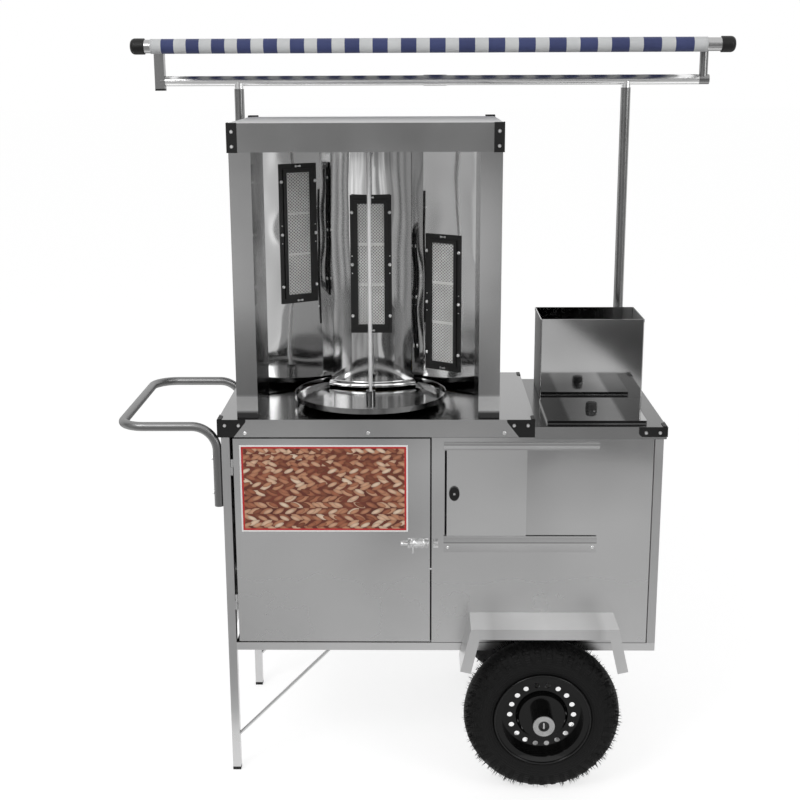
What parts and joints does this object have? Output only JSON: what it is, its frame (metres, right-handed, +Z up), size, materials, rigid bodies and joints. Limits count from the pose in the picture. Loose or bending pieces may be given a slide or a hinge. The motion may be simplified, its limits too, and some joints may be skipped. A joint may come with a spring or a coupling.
{
  "type": "gyro cart",
  "caption": "Two-wheeled steel street-food cart with a gas gyro cooker, counter well and bin, cupboard doors, push handle and a flat striped canopy.",
  "frame": {"origin": "bottom centre of the bounding box, on the ground", "axes": "+X along the cart from the handle to the wheels, +Y from the front to the rear, +Z up"},
  "size_m": [1.4844, 0.9309, 1.8068],
  "materials": {
    "satin_steel": "satin",
    "tube_steel": "satin",
    "polished_steel": "polished",
    "chrome_tube": "bright",
    "black_plastic": "matt",
    "ceramic": "matt ceramic",
    "burner_paint": "heat-proof matt black",
    "brass_fitting": "satin",
    "tyre": "matt",
    "rim_paint": "gloss",
    "canvas": "woven, navy and white stripes",
    "sign": "printed"
  },
  "bodies": {
    "cart": {"axle": "tube_steel", "bin": "polished_steel", "bolt_keeper": "satin_steel", "bottom_frame": "tube_steel", "burner_bodies": "burner_paint", "burner_plates": "ceramic", "canopy_frame_left": "chrome_tube", "canopy_frame_right": "chrome_tube", "canvas": "canvas", "case_screws": "chrome_tube", "cooker_back": "polished_steel", "cooker_base": "polished_steel", "cooker_hood": "polished_steel", "corner_brackets": "black_plastic", "corner_elbows": "black_plastic", "counter_top": "polished_steel", "end_panels": "satin_steel", "fenders": "satin_steel", "floor_panel": "satin_steel", "front_panel": "satin_steel", "gas_manifold": "brass_fitting", "handle_bar": "chrome_tube", "handle_bolts": "chrome_tube", "hem_tubes": "chrome_tube", "hinge_leaves": "satin_steel", "leg_braces": "tube_steel", "leg_front_left": "tube_steel", "leg_rear_left": "tube_steel", "pillar_left": "polished_steel", "pillar_right": "polished_steel", "pipe_sleeve": "chrome_tube", "post_clamps": "chrome_tube", "rear_panel": "satin_steel", "reflector_centre": "polished_steel", "reflector_left": "polished_steel", "reflector_right": "polished_steel", "right_posts": "tube_steel", "slide_rails": "satin_steel", "spit_bearing": "polished_steel", "top_bush": "polished_steel", "top_frame": "tube_steel", "tube_plugs": "black_plastic", "well_pan": "satin_steel"},
    "door": {"door": "satin_steel", "door_sign": "sign", "bolt_plate": "satin_steel"},
    "bolt": {"bolt_rod": "satin_steel"},
    "slider": {"slide_door": "satin_steel", "lock_body": "black_plastic"},
    "lock_plug": {"lock_plug": "satin_steel"},
    "spit": {"spit_rod": "polished_steel", "drip_pan": "polished_steel"},
    "wheel_front": {"tyre_front": "tyre", "rim_front": "rim_paint"},
    "wheel_rear": {"tyre_rear": "tyre", "rim_rear": "rim_paint"},
    "knob_left": {"knob_left": "black_plastic"},
    "knob_centre": {"knob_centre": "black_plastic"},
    "knob_right": {"knob_right": "black_plastic"},
    "lid": {"well_lid": "satin_steel"}
  },
  "joints": [
    {"name": "door_swing", "type": "hinge", "parent": "cart", "child": "door", "pos_m": [-0.462, -0.335, 0.61], "axis": [0, 0, -1], "range_deg": [0, 110]},
    {"name": "bolt_slide", "type": "slide", "parent": "door", "child": "bolt", "axis": [1, 0, 0], "range_m": [0, 0.022]},
    {"name": "slider_slide", "type": "slide", "parent": "cart", "child": "slider", "axis": [1, 0, 0], "range_m": [0, 0.16]},
    {"name": "lock_turn", "type": "hinge", "parent": "slider", "child": "lock_plug", "pos_m": [0.07, -0.343, 0.736], "axis": [0, 1, 0], "range_deg": [0, 90]},
    {"name": "spit_turn", "type": "hinge", "parent": "cart", "child": "spit", "pos_m": [-0.135, -0.15, 1.2], "axis": [0, 0, 1], "continuous": true},
    {"name": "wheel_front_spin", "type": "hinge", "parent": "cart", "child": "wheel_front", "pos_m": [0.285, -0.39, 0.19], "axis": [0, 1, 0], "continuous": true},
    {"name": "wheel_rear_spin", "type": "hinge", "parent": "cart", "child": "wheel_rear", "pos_m": [0.285, 0.22, 0.19], "axis": [0, 1, 0], "continuous": true},
    {"name": "lid_lift", "type": "slide", "parent": "cart", "child": "lid", "axis": [0, 0, 1], "range_m": [0, 0.12]},
    {"name": "knob_left_turn", "type": "hinge", "parent": "cart", "child": "knob_left", "pos_m": [-0.32993, 0.107, 0.955], "axis": [0, 1, 0], "range_deg": [0, 90]},
    {"name": "knob_centre_turn", "type": "hinge", "parent": "cart", "child": "knob_centre", "pos_m": [-0.135, 0.107, 0.955], "axis": [0, 1, 0], "range_deg": [0, 90]},
    {"name": "knob_right_turn", "type": "hinge", "parent": "cart", "child": "knob_right", "pos_m": [0.05993, 0.107, 0.955], "axis": [0, 1, 0], "range_deg": [0, 90]}
  ]
}
